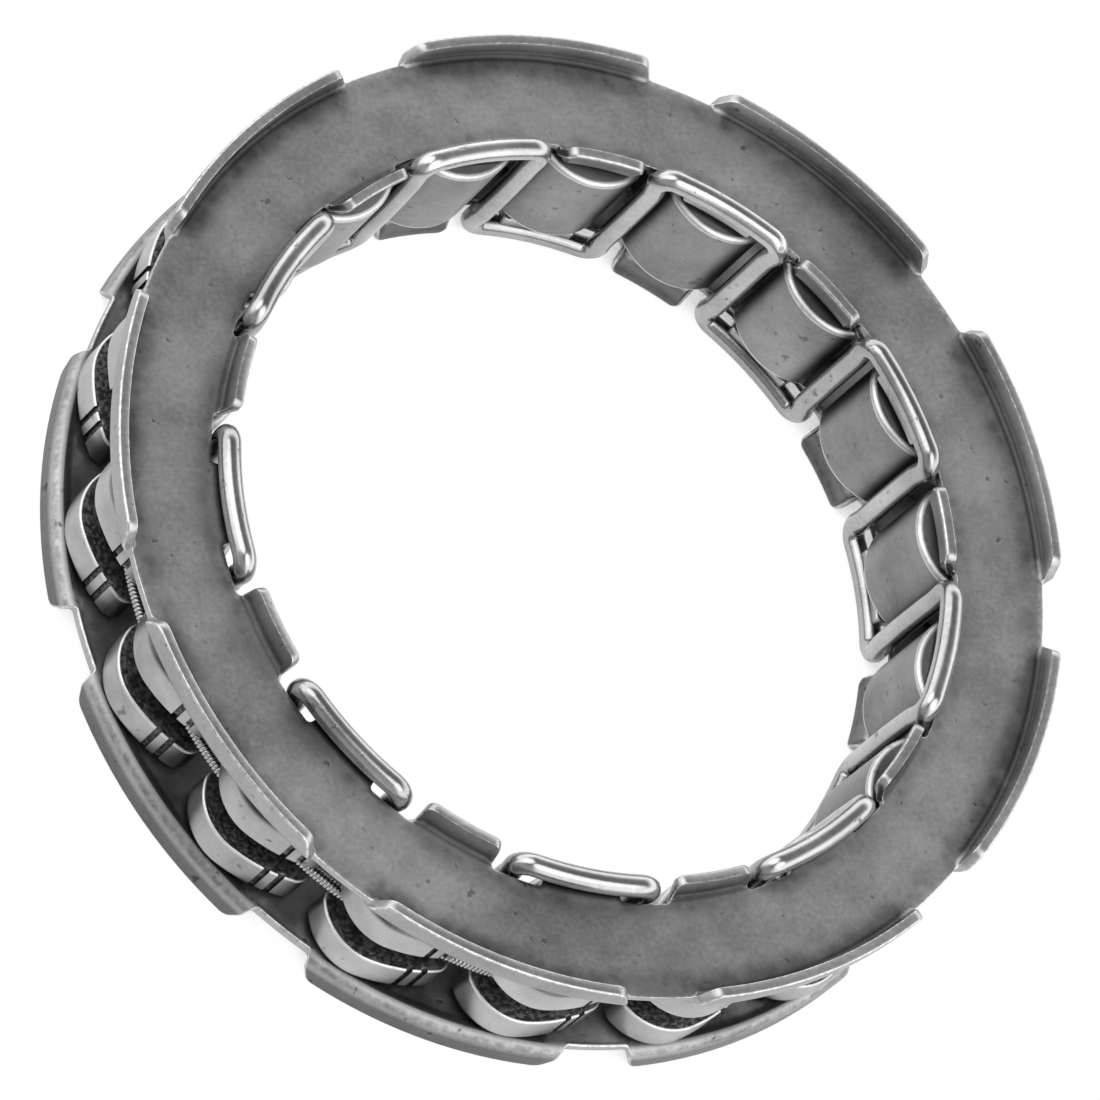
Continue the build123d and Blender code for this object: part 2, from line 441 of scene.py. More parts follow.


# bands are (radius, reach, depth, how broken), and the tone that is left in the corners is painted shade
# where parts meet
steelLooks = {
    "plateSteel": {"grey": 0.36, "roughness": 0.4, "bump": 0.5, "cloud": 0.7, "pits": 0.6,
                   "scratches": 0.12, "grain": 0.45, "cornerShade": 0.6, "stainAndShade": 0.55,
                   # the band at 29.43 is painted shade in the bore tabs' bends, the one at 28.35 darkens the
                   # teeth's tips and upper bore tabs, and the broken ones are patchy darker rings near the
                   # bore edge and inside the rim
                   "bands": [(30.3, 1.0, 0.4, 0.9), (28.35, 0.5, 0.8, 0.2), (29.43, 0.45, 0.9, 0.1),
                             (35.9, 1.3, 0.4, 0.95)]},
    "plateEdge": {"grey": 0.44, "roughness": 0.36, "bump": 0.4, "cloud": 0.4, "pits": 0.4,
                  "scratches": 0.3, "grain": 0.4, "mottle": 0.08, "cornerShade": 0.5},
    # pale strips along the sheet's edge corners: partly bright worn steel and partly painted highlight
    "plateBurrHighlight": {"grey": 0.7, "roughness": 0.34, "bump": 0.6, "cloud": 0.6, "pits": 0.4,
                  "grain": 0.6, "mottle": 0.35, "cornerShade": 0.7},
    "wireSteel": {"grey": 0.45, "roughness": 0.24, "bump": 0.35, "cloud": 0.9, "pits": 0.5,
                  "scratches": 0.1, "grain": 0.2, "mottle": 0.06, "cornerShade": 0.12},
    "spragSteel": {"grey": 0.42, "roughness": 0.33, "bump": 0.35, "cloud": 1.1, "pits": 0.5,
                   "scratches": 0.2, "grain": 0.2, "cornerShade": 0.2, "tail": 0.75, "perPiece": True},
    # the sprags' rounded edges are paler: a painted highlight
    "spragEdgeHighlight": {"grey": 0.66, "roughness": 0.42, "bump": 0.3, "cloud": 0.4, "pits": 0.3,
                  "scratches": 0.2, "grain": 0.3, "cornerShade": 0.5, "tail": 0.5, "perPiece": True},
    "spragGroove": {"grey": 0.19, "roughness": 0.5, "bump": 0.6, "cloud": 0.8, "pits": 0.3,
                    "grain": 0.4, "mottle": 0.75, "cornerShade": 0.3, "perPiece": True},
    "spragFoot": {"grey": 0.27, "roughness": 0.4, "bump": 0.4, "cloud": 1.1, "pits": 0.4,
                  "scratches": 0.25, "grain": 0.3, "mottle": 0.08, "cornerShade": 0.25, "perPiece": True},
    "coilSteel": {"grey": 0.45, "roughness": 0.28, "bump": 0.2, "cloud": 0.3, "pits": 0.2,
                  "grain": 0.2, "cornerShade": 0.1},
}
steels = {name: makeSteel(name, look) for name, look in steelLooks.items()}
print("materials ready: %d" % len(steels))

# side plates

plate = {
    "rimTabArc": 31.5,
    "rimTabHeight": 1.93,
    "rimTabSlant": 0.9,  # how far the ends of a rim tab lean in
    "rimTabRound": 1.0,
    "rimTabFoot": 0.7,
    "rimBend": 0.5,  # inside radius of the bend
    "boreTabArc": 12.6,
    "boreTabHeight": 1.85,
    "boreTabReach": 1.4,
    "boreTabRound": 0.75,
    "boreTabTurn": 81.0,  # how far the tabs round the bore are bent up
    "boreBend": 0.35,
    "toothArc": 12.2,
    "toothReach": 1.25,
    "toothFlat": 0.25,  # how far a tooth stays level before it rises
    "toothRise": 0.15,
    "toothRound": 0.35,
    "notchRound": 0.35,
    "steepSlant": 0.12,
    "bendStart": (-0.3, 0.1),  # how far in from the end of a tab its bend comes up
    "burrRound": 0.07,  # the sheet is sharp on the side that its tabs stand up from
    "rollRound": 0.2,  # and rounded by the punch on the other
    "footSteps": 4,
    "topSteps": 5,
    "roundSteps": 4,
    "burrLevels": (0, 1, 4, 5),  # strips of the sheet's edge, along both of its corners
    "bendSteps": 5,
    "angleStep": 1.6,
    "leastStep": 0.01,
    "meshMargin": 0.08,
    "meshInsets": (0.16, 0.3, 0.5, 0.8, 1.2),  # columns of points, in from the ends of a tab
    "meshRow": -0.45,
    "wallRows": (0.1, 0.5, 1.0),  # past the end of a bend
    "ringRows": 3,  # rows of points round the flat middle of the plate
    "ringStep": 2.0,
    "sharpAngle": 40,
}


def tabOutline(top, slant, footRound, topRound):
    # how far the sheet reaches, at each distance in from the end of a tab, with rounded corners
    low, high = Vector((0, 0)), Vector((slant, top))
    before, after = Vector((-9, 0)), Vector((9, top))  # on the level to either side
    return (filletPoints(before, low, high, footRound, plate["footSteps"])
            + filletPoints(low, high, after, topRound, plate["topSteps"]))


def reachAt(outline, inset):
    for before, after in zip(outline, outline[1:]):
        if inset < after.x:
            share = max((inset - before.x) / (after.x - before.x), 0.0)
            return before.y + (after.y - before.y) * share
    return outline[-1].y


def makeForms():
    # where each kind of tab or tooth is, its flat outline, and its bend as (flat, radius, turn)
    rimBend, boreBend, boreTurn = plate["rimBend"], plate["boreBend"], math.radians(plate["boreTabTurn"])
    rimLength = plate["rimTabHeight"] - 2 * rimBend + rimBend * math.pi / 2
    boreFlat = plate["boreTabReach"] - clutch["sheet"] - boreBend
    boreLength = boreFlat + boreBend * boreTurn + (plate["boreTabHeight"] - boreBend)
    steep, notch = plate["steepSlant"], plate["notchRound"]
    return {
        "rimTab": {"middle": tabPitch / 4, "arc": plate["rimTabArc"], "radius": clutch["rim"],
                   "outline": tabOutline(rimLength, plate["rimTabSlant"], plate["rimTabFoot"],
                                         plate["rimTabRound"]),
                   "bend": (-rimBend, rimBend, math.pi / 2)},
        "boreTab": {"middle": 0.0, "arc": plate["boreTabArc"], "radius": clutch["boreEdge"],
                    "outline": tabOutline(boreLength, steep, notch, plate["boreTabRound"]),
                    "bend": (boreFlat, boreBend, boreTurn)},
        "tooth": {"middle": tabPitch / 2, "arc": plate["toothArc"], "radius": clutch["boreEdge"],
                  "outline": tabOutline(plate["toothReach"], steep, notch, plate["toothRound"])},
    }


forms = makeForms()
sheetSides = [
    {"names": ("rimTab",), "edge": clutch["rim"], "way": 1, "back": 1.2},
    {"names": ("boreTab", "tooth"), "edge": clutch["boreEdge"], "way": -1, "back": 0.8},
]


def nearestForm(names, angle):
    # the tab or tooth that is nearest, and the distance in from its nearer end
    found = []
    for name in names:
        form = forms[name]
        away = (angle - form["middle"] + tabPitch / 2) % tabPitch - tabPitch / 2
        found.append((math.radians(form["arc"] / 2 - abs(away)) * form["radius"], name))
    inset, name = max(found)
    return forms[name], inset


def formAngles(names, insets=None):
    # angles round the plate at these distances in from the ends of the tabs, and between them
    angles = []
    for tab in range(clutch["tabCount"]):
        for name in names:
            form = forms[name]
            for inset in insets or [point.x for point in form["outline"]]:
                half = form["arc"] / 2 - math.degrees(inset / form["radius"])
                angles += [tabPitch * tab + form["middle"] - half, tabPitch * tab + form["middle"] + half]
    whole = sorted(angle % 360 for angle in angles)
    spaced = []
    for angle, following in zip(whole, whole[1:] + [whole[0] + 360]):
        if following - angle > plate["leastStep"]:
            steps = math.ceil((following - angle) / plate["angleStep"])
            spaced += [angle + (following - angle) * step / steps for step in range(steps)]
    return spaced


def flatPoint(radius, angle):
    return Vector((radius * math.cos(math.radians(angle)), radius * math.sin(math.radians(angle))))


def foldPoint(point, depth):
    # where a point of the flat pattern lies, this deep in the sheet, once its tabs are bent
    radius, angle = point.length, math.degrees(math.atan2(point.y, point.x))
    side = sheetSides[0] if radius > (clutch["rim"] + clutch["boreEdge"]) / 2 else sheetSides[1]
    form, inset = nearestForm(side["names"], angle)
    length = side["way"] * (radius - side["edge"])
    level, up = length, -depth
    if "bend" in form:
        flat, bend, whole = form["bend"]
        if length > flat:
            turn = min((length - flat) / bend, whole)
            rise = max(length - flat - bend * whole, 0.0)
            start, end = plate["bendStart"]
            bent = min(max((inset - start) / (end - start), 0.0), 1.0)
            level += (flat + (bend + depth) * math.sin(turn) + rise * math.cos(whole) - level) * bent
            up += ((bend + depth) * (1 - math.cos(turn)) + rise * math.sin(whole)) * bent
    elif length > plate["toothFlat"]:
        up += plate["toothRise"] * (length - plate["toothFlat"]) / (plate["toothReach"] - plate["toothFlat"])
    return polar(side["edge"] + side["way"] * level, angle, up)


def outlineNormals(outline):
    normals = []
    for index in range(len(outline)):
        along = (outline[(index + 1) % len(outline)] - outline[index - 1]).normalized()
        normals.append(Vector((along.y, -along.x)))
    return normals


def edgeLoop(side):
    # the outline of the flat pattern on one side, with the direction that faces off the sheet
    loop = []
    for angle in formAngles(side["names"]):
        form, inset = nearestForm(side["names"], angle)
        loop.append(flatPoint(side["edge"] + side["way"] * reachAt(form["outline"], inset), angle))
    return loop, [normal * side["way"] for normal in outlineNormals(loop)]


def innerPoints(side):
    # rows of points on one side of the flat pattern, close together along the bends
    points = []
    margin = plate["rollRound"] + plate["meshMargin"]
    for angle in formAngles(side["names"], plate["meshInsets"]):
        form, inset = nearestForm(side["names"], angle)
        reach = min(reachAt(form["outline"], inset + shift) for shift in (-margin, 0.0, margin))
        rows = [-side["back"], plate["meshRow"]]
        if "bend" in form:
            flat, bend, whole = form["bend"]
            arc, steps = bend * whole, plate["bendSteps"]
            wall = [flat + arc + row for row in plate["wallRows"]]
            rows += [flat - plate["meshMargin"], wall[0]]
            rows += [flat + arc * step / steps for step in range(steps + 1)] + wall[1:]
        else:
            rows += [plate["toothFlat"], (plate["toothFlat"] + plate["toothReach"]) / 2]
        points += [flatPoint(side["edge"] + side["way"] * row, angle) for row in rows if row < reach - margin]
    return points


def makePattern():
    # the flat pattern: its outlines, and triangles between them that leave the bore open
    loops, border, edges = [], [], []
    for side in sheetSides:
        loop, normals = edgeLoop(side)
        start, count = len(border), len(loop)
        loops.append((range(start, start + count), loop, normals))
        border += [point - normal * plate["burrRound"] for point, normal in zip(loop, normals)]
        edges += [(start + index, start + (index + 1) % count) for index in range(count)]
    inner = [point for side in sheetSides for point in innerPoints(side)]
    low = clutch["boreEdge"] + sheetSides[1]["back"]
    high = clutch["rim"] - sheetSides[0]["back"]
    rows, turn = plate["ringRows"], plate["ringStep"]
    for row in range(1, rows + 1):
        radius = low + (high - low) * row / (rows + 1)
        inner += [flatPoint(radius, turn * step) for step in range(round(360 / turn))]
    filled = mathutils.geometry.delaunay_2d_cdt(border + inner, edges, [], 0, 0.00001, True)
    points, faces, sources = filled[0], filled[2], filled[3]
    places = {source: index for index, found in enumerate(sources) for source in found}
    walls = {frozenset((places[first], places[second])) for first, second in edges}
    neighbours = {}
    for face in faces:
        for index in range(3):
            neighbours.setdefault(frozenset((face[index - 1], face[index])), []).append(face)
    # the sheet is what can be reached from its middle without crossing an outline
    sheet = {tuple(face) for face in faces if places[len(border) + len(inner) - 1] in face}
    waiting = list(sheet)
    while waiting:
        face = waiting.pop()
        for index in range(3):
            edge = frozenset((face[index - 1], face[index]))
            for other in neighbours[edge]:
                if edge not in walls and tuple(other) not in sheet:
                    sheet.add(tuple(other))
                    waiting.append(other)
    loops = [([places[index] for index in ring], loop, normals) for ring, loop, normals in loops]
    return loops, points, sorted(sheet)


pattern = makePattern()


def makePlate(name, node, place, mirrored):
    loops, points, faces = pattern
    bm = bmesh.new()
    sheet, burr, roll, steps = clutch["sheet"], plate["burrRound"], plate["rollRound"], plate["roundSteps"]
    front = [bm.verts.new(foldPoint(point, 0.0)) for point in points]
    rearPoints = list(points)
    for ring, loop, normals in loops:
        for index, point, normal in zip(ring, loop, normals):
            rearPoints[index] = point - normal * roll
    rear = [bm.verts.new(foldPoint(point, sheet)) for point in rearPoints]
    for face in faces:
        bm.faces.new([front[index] for index in face])
        bm.faces.new([rear[index] for index in reversed(face)])
    turns = [math.pi / 2 * step / steps for step in range(steps + 1)]
    levels = [(burr * (1 - math.sin(turn)), burr * (1 - math.cos(turn))) for turn in turns[2::2]]
    levels += [(roll * (1 - math.cos(turn)), sheet - roll * (1 - math.sin(turn))) for turn in turns[:-1]]
    for ring, loop, normals in loops:
        rings = [[front[index] for index in ring]]
        for inset, depth in levels:
            rings.append([bm.verts.new(foldPoint(point - normal * inset, depth))
                          for point, normal in zip(loop, normals)])
        rings.append([rear[index] for index in ring])
        for level, (here, there) in enumerate(zip(rings, rings[1:])):
            for index in range(len(loop)):
                face = bm.faces.new((here[index - 1], here[index], there[index], there[index - 1]))
                face.material_index = 2 if level in plate["burrLevels"] else 1
    if mirrored:
        flip = Matrix.Rotation(math.radians(spragPitch), 4, "Z") @ Matrix.Diagonal((1, -1, -1, 1))
        bmesh.ops.transform(bm, matrix=flip, verts=bm.verts)
    bmesh.ops.translate(bm, vec=(0, 0, place * mm), verts=bm.verts)
    mesh = meshFrom(name, bm, plate["sharpAngle"])
    newPiece(name, mesh, ("plateSteel", "plateEdge", "plateBurrHighlight"), node)


makePlate("frontPlate", "front_side_plate", frontFace, False)
makePlate("rearPlate", "rear_side_plate", rearFace, True)
print("side plates made")

# zigzag wire and garter spring

wire = {
    "diameter": 1.7,
    "loopRadius": 28.9,
    "waistRadius": 28.7,
    "corner": 1.15,
    "cornerSteps": 8,
    "seatGap": 0.05,
    "seatRise": 0.75,  # the share of a tooth's rise that a loop rests on
    "sides": 40,
    "flats": 8,
    "wear": 0.22,
    "step": 1.0,
    "flare": (0.2, 0.7),  # how far a loop's ends stand out past its runs
    "flareHeight": 2.4,
    "flareBend": 3.0,
    "seed": 7,
    "sharpAngle": 60,
}
spring = {
    "diameter": 1.0,
    "depth": 2.65,
    "seatGap": 0.05,
    "strand": 0.3,
    "pitch": 0.31,
    "stepsPerTurn": 10,
    "sides": 6,
}


def wornCircle(sides, flats, wear):
    # a circle of radius 1 that is worn towards a polygon with this many flats
    points = []
    for step in range(sides):
        turn = 2 * math.pi * step / sides
        away = (turn + math.pi / flats) % (2 * math.pi / flats) - math.pi / flats
        reach = (math.cos(math.pi / flats) / math.cos(away)) ** wear
        points.append(Vector((math.cos(turn), math.sin(turn))) * reach)
    return points


def tubeMesh(name, path, sideways, radius, section):
    # a closed tube along a path, with a direction at each point that fixes where its seam lies
    bm = bmesh.new()
    count = len(path)
    rings = []
    for index, (point, side) in enumerate(zip(path, sideways)):
        along = (path[(index + 1) % count] - path[index - 1]).normalized()
        across = (side - along * side.dot(along)).normalized()
        third = along.cross(across)
        rings.append([bm.verts.new(point + (across * side.x + third * side.y) * radius) for side in section])
    for index in range(count):
        here, there = rings[index - 1], rings[index]
        for step in range(len(section)):
            bm.faces.new((here[step - 1], here[step], there[step], there[step - 1]))
    return meshFrom(name, bm, wire["sharpAngle"])


def wireCorners(high, low, width):
    # the corners of the wire rolled out flat, each with its bend radius: two at a loop's end and
    # two where a run begins to flare out towards it
    chance = random.Random(wire["seed"])
    flared = wire["flareHeight"]
    corners = []
    for number in range(clutch["spragCount"]):
        along = width * (number + 0.5)
        before, after = -chance.uniform(*wire["flare"]), chance.uniform(*wire["flare"])
        start, end = (low, high) if number % 2 == 0 else (high, low)
        for height, shift, leaving in ((start, after, True), (end, before, False)):
            inner = Vector((along, height + (flared if height == low else -flared))), wire["flareBend"]
            outer = Vector((along + shift, height)), wire["corner"]
            corners += [outer, inner] if leaving else [inner, outer]
    return corners


def makeWire():
    rise = wire["diameter"] / 2 + wire["seatGap"] + plate["toothRise"] * wire["seatRise"]
    high, low = frontFace + rise, rearFace - rise
    width = math.radians(spragPitch) * wire["loopRadius"]  # distance between runs along the circle
    corners = wireCorners(high, low, width)
    count, whole = len(corners), Vector((width * clutch["spragCount"], 0))

    def cornerAt(index):
        return corners[index % count][0] + whole * (index // count)

    path, sideways = [], []
    for index in range(count):
        corner, bend = corners[index]
        after, following = cornerAt(index + 1), cornerAt(index + 2)
        bent = filletPoints(cornerAt(index - 1), corner, after, bend, wire["cornerSteps"])
        goal = filletPoints(corner, after, following, corners[(index + 1) % count][1], 1)[0]
        steps = max(1, round((goal - bent[-1]).length / wire["step"]))
        run = [bent[-1].lerp(goal, step / steps) for step in range(1, steps)]
        for along, height in bent + run:
            swell = abs(height - middle) / (high - middle)
            radius = wire["waistRadius"] + (wire["loopRadius"] - wire["waistRadius"]) * min(swell, 1.0) ** 2
            angle = math.degrees(along / wire["loopRadius"])
            path.append(polar(radius, angle, height))
            sideways.append(polar(1.0, angle, 0.0))
    section = wornCircle(wire["sides"], wire["flats"], wire["wear"])
    mesh = tubeMesh("zigzagWire", path, sideways, wire["diameter"] / 2 * mm, section)
    newPiece("zigzagWire", mesh, ("wireSteel",), "zigzag_wire")


def makeSpring():
    ring = clutch["crown"] - spring["depth"]
    strandRadius = (spring["diameter"] - spring["strand"]) / 2
    turns = round(2 * math.pi * ring / spring["pitch"])
    steps = turns * spring["stepsPerTurn"]
    path, sideways = [], []
    for step in range(steps):
        angle = 360 * step / steps
        coil = 2 * math.pi * step / spring["stepsPerTurn"]
        out = polar(1.0, angle, 0.0) * math.cos(coil) + Vector((0, 0, mm)) * math.sin(coil)
        path.append(polar(ring, angle, middle) + out * strandRadius)
        sideways.append(out)
    section = wornCircle(spring["sides"], spring["sides"], 0.0)
    mesh = tubeMesh("garterSpring", path, sideways, spring["strand"] / 2 * mm, section)
    newPiece("garterSpring", mesh, ("coilSteel",), "garter_spring")


makeWire()
makeSpring()
print("wire and spring made")

# sprags

sprag = {
    "endGap": 0.3,
    "pivotHeight": 3.3,
    "bellyRadius": 4.5,
    "bellyOffset": 1.25,
    "bellyStart": -66.0,
    "bellyEnd": 10.0,
    "heelHeight": 6.2,
    "heelHalf": 5.45,
    "heelRound": (0.45, 4),  # rounds of the outline are (radius, steps)
    "tailRadius": 12.5,
    "tailReach": 4.95,
    "tailDepth": 1.0,
    "tailRound": (1.2, 6),
    "tailBackRound": (0.45, 4),
    "tailSpace": 0.05,  # least space before its rounded tip
    "slots": (2.5, 3.55),  # where two shallow slots cross the tail
    "slotWidth": 0.42,
    "slotDepth": 0.24,
    "slotWall": 0.08,  # degrees from a slot's edge to the points beside it
    "slotSpace": 0.25,  # and degrees round it without other points
    "slotHeight": 3.5,  # heights from here to footTop are from the pivot
    "headHeight": 1.1,
    "footTop": -0.6,
    "footRadius": 5.3,
    "footHalf": 4.2,
    "footRound": (0.5, 4),
    "footSpace": 0.45,
    "waistHeights": (3.0, 4.4),
    "waistHalf": 2.5,
    "waistRound": (1.1, 5),
    "grooveWidth": 2.8,
    "endRound": 0.42,
    "grooveRound": 0.17,
    "roundSpace": 0.04,  # a ring of points this far past each rounded edge keeps it crisp
    "bellySteps": 24,
    "tailSteps": 26,
    "footSteps": 18,
    "roundSteps": 4,
    "doubles": 0.0005,  # points closer than this are joined
}


def tailPoints(bellyCentre):
    # the tail follows on from the belly in a wider arc, with points at the edges of its slots
    joint, radius, steps = sprag["bellyEnd"], sprag["tailRadius"], sprag["tailSteps"]
    outwards = Vector((math.cos(math.radians(joint)), math.sin(math.radians(joint))))
    centre = bellyCentre - outwards * (radius - sprag["bellyRadius"])

    def turnAt(along):
        return math.degrees(math.asin((along - centre.y) / radius))

    whole = turnAt(sprag["tailReach"]) - joint
    turns = [joint + whole * step / steps for step in range(steps + 1)]
    for slot in sprag["slots"]:
        for shift in (-0.5, 0.5):
            turn = turnAt(slot + shift * sprag["slotWidth"])
            turns = [old for old in turns if abs(old - turn) > sprag["slotSpace"]]
            turns += [turn - sprag["slotWall"], turn + sprag["slotWall"]]
    return [arcPoints(centre, radius, turn, turn, 1)[0] for turn in sorted(turns)]


def roundedChain(points, rounds):
    # a chain of points, of which all but the first and the last are rounded
    chain = []
    for index, name in enumerate(rounds):
        chain += filletPoints(*points[index:index + 3], *sprag[name])
    return chain


def spragOutline():
    race, half = clutch["innerRace"], sprag["waistHalf"]
    centre = Vector((clutch["crown"] - sprag["bellyRadius"], -sprag["bellyOffset"]))
    belly = arcPoints(centre, sprag["bellyRadius"], sprag["bellyStart"], sprag["bellyEnd"],
                      sprag["bellySteps"])
    tail = tailPoints(centre)
    tailBack = tail[-1] - Vector((sprag["tailDepth"], 0))
    edge = math.degrees(math.asin(sprag["footHalf"] / sprag["footRadius"]))
    foot = arcPoints((race + sprag["footRadius"], 0), sprag["footRadius"], 180 - edge, 180 + edge,
                     sprag["footSteps"])
    low, high = (race + height for height in sprag["waistHeights"])
    heel = Vector((race + sprag["heelHeight"], -sprag["heelHalf"]))
    tailWaist = [Vector((high, half)), Vector((low, half))]
    heelWaist = [Vector((low, -half)), Vector((high, -half))]
    tailSide = roundedChain(tail[-2:] + [tailBack] + tailWaist + foot[:2],
                            ("tailRound", "tailBackRound", "waistRound", "waistRound", "footRound"))
    heelSide = roundedChain(foot[-2:] + heelWaist + [heel, belly[0]],
                            ("footRound", "waistRound", "waistRound", "heelRound"))
    plainTail = [point for point in tail[1:] if point.y < tailSide[0].y - sprag["tailSpace"]]
    plainFoot = [point for point in foot if abs(point.y) < sprag["footHalf"] - sprag["footSpace"]]
    return belly + plainTail + tailSide + plainFoot + heelSide


def spragRings(outline, slotted, cut, grooved):
    # the outline at heights from one end of a sprag to the other, round its ends and its groove
    normals = outlineNormals(outline)
    length = frontFace - rearFace - 2 * (clutch["sheet"] + sprag["endGap"])
    depth, endRound, grooveRound = sprag["slotDepth"], sprag["endRound"], sprag["grooveRound"]
    shares = [step / sprag["roundSteps"] for step in range(sprag["roundSteps"] + 1)]

    def shrunk(inset, slotDepth):
        return [point - normal * (inset + (slotDepth if isSlot else 0.0))
                for point, normal, isSlot in zip(outline, normals, slotted)]

    rings = []
    for side in (-1, 1):
        end, groove = middle + side * length / 2, middle + side * sprag["grooveWidth"] / 2
        stack = []
        for share in shares:
            turn = math.pi / 2 * share
            stack.append((shrunk(endRound * (1 - math.sin(turn)), depth * share),
                          end - side * endRound * (1 - math.cos(turn))))
        stack.append((shrunk(0.0, depth), end - side * (endRound + sprag["roundSpace"])))
        stack.append((shrunk(0.0, depth), groove + side * (grooveRound + sprag["roundSpace"])))
        for share in shares:
            turn = math.pi / 2 * share
            points = shrunk(grooveRound * (1 - math.cos(turn)), depth)
            stack.append(([point if isCut else plain for point, plain, isCut in zip(points, outline, cut)],
                          groove + side * grooveRound * (1 - math.sin(turn))))
        stack.append((grooved, groove))
        rings += stack if side < 0 else stack[::-1]
    return rings


def spragMesh():
    outline = spragOutline()
    pivot = Vector((clutch["innerRace"] + sprag["pivotHeight"], 0))
    floor = clutch["crown"] - spring["depth"] - spring["diameter"] / 2 - spring["seatGap"] - pivot.x
    cut = [point.x > pivot.x + sprag["headHeight"] and (point - pivot).length > floor for point in outline]
    grooved = [pivot + (point - pivot).normalized() * floor if isCut else point
               for point, isCut in zip(outline, cut)]
    slotted = [point.x > pivot.x + sprag["slotHeight"]
               and min(abs(point.y - slot) for slot in sprag["slots"]) < sprag["slotWidth"] / 2
               for point in outline]
    rings = spragRings(outline, slotted, cut, grooved)
    grooveLevel, lastLevel, steps = len(rings) // 2 - 1, len(rings) - 2, sprag["roundSteps"]

    def lookOf(index, level):
        # 0 is the plain steel, 1 the rounded edges with their painted highlight, 2 the groove and the slots,
        # and 3 the foot
        if slotted[index] or slotted[index - 1]:
            return 2
        if outline[index].x < pivot.x + sprag["footTop"]:
            return 1 if min(level, lastLevel - level) < steps else 3
        away = abs(level - grooveLevel)
        if (cut[index] or cut[index - 1]) and away <= 1 + steps:
            return 2 if away <= 1 else 1
        return 0

    bm = bmesh.new()
    loops = [[bm.verts.new(Vector((point.x, point.y, height)) * mm) for point in points]
             for points, height in rings]
    for level, (here, there) in enumerate(zip(loops, loops[1:])):
        for index in range(len(outline)):
            face = bm.faces.new((here[index - 1], here[index], there[index], there[index - 1]))
            face.material_index = lookOf(index, level)
    for ends in (loops[0], loops[-1]):
        bm.faces.new(ends)
    bmesh.ops.remove_doubles(bm, verts=bm.verts, dist=sprag["doubles"] * mm)
    return meshFrom("sprag", bm)


def makeSprags():
    shape = spragMesh()
    for number, node in enumerate(spragNodes):
        mesh = shape.copy()
        mesh.transform(Matrix.Rotation(math.radians(spragPitch * number), 4, "Z"))
        newPiece("spragCam%02d" % (number + 1), mesh, ("spragSteel", "spragEdgeHighlight", "spragGroove", "spragFoot"),
                 node, node + "_body")


makeSprags()
print("sprags made: %d" % len(spragNodes))

# studio

camera = {
    "azimuth": 218.63,  # where the camera stands, anticlockwise from +X
    "elevation": 56.26,
    "roll": 48.23,
    "distance": 669.3,
    "aimOffset": (-0.59, -0.23),  # to the camera's right and up from the middle of the clutch
    "lens": 298.8,
    "sensor": 36.0,
    "clip": (0.05, 20.0),  # metres
}
lamps = {
    "keySoftbox": {"azimuth": 280, "elevation": 58, "distance": 900, "size": 760, "power": 3.2},
    "sideSoftbox": {"azimuth": 155, "elevation": 58, "distance": 900, "size": 760, "power": 3.2},
}
sky = {
    "wallGlow": 1.9,
    "ceilingGlow": 0.2,
    "ceilingSpan": (0.45, 0.8),  # of the direction's upward share
    "gapGlow": 0.28,
    "gapSpan": (0.55, 0.8),  # of its share towards the camera
}
ground = {
    "size": 4000.0,
    "drop": 0.02,
    "tone": 0.8,
    "roughness": 0.9,
    "glow": 1.02,
    "glowShare": 0.95,
    "shelterReach": 4,  # close to the clutch the floor shows its own light and shade
    "shelterSpan": (0.08, 0.22),
}


def direction(azimuth, elevation):
    a, e = math.radians(azimuth), math.radians(elevation)
    return Vector((math.cos(a) * math.cos(e), math.sin(a) * math.cos(e), math.sin(e)))


def makeCamera():
    back = direction(camera["azimuth"], camera["elevation"])
    level = (-back).to_track_quat("-Z", "Y").to_matrix()
    turned = level @ Matrix.Rotation(math.radians(camera["roll"]), 3, "Z")
    right, up = turned.col[0], turned.col[1]
    centre = Vector((0, 0, middle)) * mm
    target = centre + (right * camera["aimOffset"][0] + up * camera["aimOffset"][1]) * mm
    data = bpy.data.cameras.new("camera")
    data.lens, data.sensor_width = camera["lens"], camera["sensor"]
    data.clip_start, data.clip_end = camera["clip"]
    cameraObject = bpy.data.objects.new("camera", data)
    cameraObject.matrix_world = Matrix.Translation(target + back * camera["distance"] * mm) @ turned.to_4x4()
    bpy.context.scene.collection.objects.link(cameraObject)
    bpy.context.scene.camera = cameraObject


def makeLamps():
    for name, lamp in lamps.items():
        data = bpy.data.lights.new(name, "AREA")
        data.shape = "DISK"
        data.size = lamp["size"] * mm
        data.energy = lamp["power"]
        lampObject = bpy.data.objects.new(name, data)
        away = direction(lamp["azimuth"], lamp["elevation"])
        lampObject.location = away * lamp["distance"] * mm
        lampObject.rotation_mode = "QUATERNION"
        lampObject.rotation_quaternion = (-away).to_track_quat("-Z", "Y")
        bpy.context.scene.collection.objects.link(lampObject)


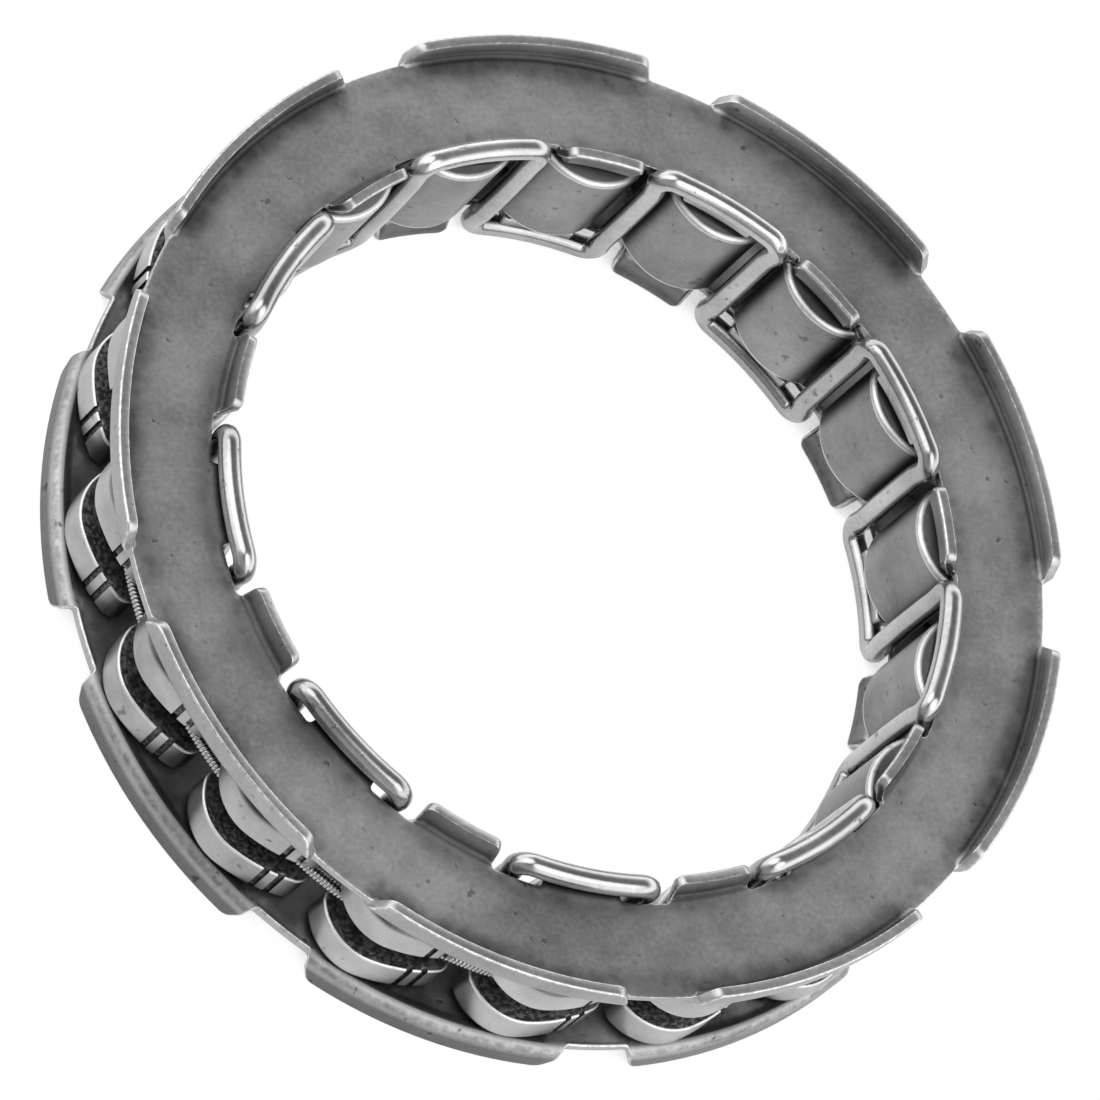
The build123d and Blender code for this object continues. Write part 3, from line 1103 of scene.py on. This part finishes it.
def makeWorld():
    world = bpy.data.worlds.new("paleStudio")
    world.use_nodes = True
    tree = world.node_tree
    background = tree.nodes["Background"]
    background.inputs["Color"].default_value = (1, 1, 1, 1)
    path = tree.nodes.new("ShaderNodeLightPath")
    coords = tree.nodes.new("ShaderNodeTexCoord")
    parts = tree.nodes.new("ShaderNodeSeparateXYZ")
    tree.links.new(coords.outputs["Generated"], parts.inputs[0])
    x, y, upward = parts.outputs
    # pale walls all round with a dark ceiling, and a dark gap behind the camera
    walls = rangeNode(tree, upward, *sky["ceilingSpan"], sky["wallGlow"], sky["ceilingGlow"])
    behind = math.radians(camera["azimuth"])
    facing = plus(tree, times(tree, x, math.cos(behind)), times(tree, y, math.sin(behind)))
    dome = times(tree, walls, rangeNode(tree, facing, *sky["gapSpan"], 1.0, sky["gapGlow"]))
    strength = mathNode(tree, "MAXIMUM", dome, path.outputs["Is Camera Ray"])
    tree.links.new(strength, background.inputs["Strength"])
    bpy.context.scene.world = world


def seenRays(tree):
    # 1 for what is seen directly or in metal or glass, and 0 for the light on things
    path = tree.nodes.new("ShaderNodeLightPath")
    seen = mathNode(tree, "MAXIMUM", path.outputs["Is Camera Ray"], path.outputs["Is Glossy Ray"])
    return mathNode(tree, "MAXIMUM", seen, path.outputs["Is Transmission Ray"])


def makeFloorLook():
    material = bpy.data.materials.new("paleFloor")
    material.use_nodes = True
    tree = material.node_tree
    shader = tree.nodes["Principled BSDF"]
    shader.inputs["Base Color"].default_value = [ground["tone"]] * 3 + [1]
    shader.inputs["Roughness"].default_value = ground["roughness"]
    glow = tree.nodes.new("ShaderNodeEmission")
    glow.inputs["Strength"].default_value = ground["glow"]
    mix = tree.nodes.new("ShaderNodeMixShader")
    shelter = tree.nodes.new("ShaderNodeAmbientOcclusion")
    shelter.samples = 4
    shelter.inputs["Distance"].default_value = ground["shelterReach"] * mm
    clear = rangeNode(tree, shelter.outputs["AO"], *ground["shelterSpan"], 0.0, ground["glowShare"])
    tree.links.new(times(tree, seenRays(tree), clear), mix.inputs[0])
    tree.links.new(shader.outputs[0], mix.inputs[1])
    tree.links.new(glow.outputs[0], mix.inputs[2])
    tree.links.new(mix.outputs[0], tree.nodes["Material Output"].inputs["Surface"])
    return material


def makeFloor():
    size = ground["size"] * mm / 2
    mesh = bpy.data.meshes.new("floor")
    corners = [(-size, -size, 0), (size, -size, 0), (size, size, 0), (-size, size, 0)]
    mesh.from_pydata(corners, [], [(0, 1, 2, 3)])
    mesh.materials.append(makeFloorLook())
    floor = bpy.data.objects.new("floor", mesh)
    floor.location.z = (rearRest - ground["drop"]) * mm
    bpy.context.scene.collection.objects.link(floor)


makeCamera()
makeLamps()
makeWorld()
makeFloor()
bpy.context.scene.view_settings.view_transform = "Standard"
print("studio ready")
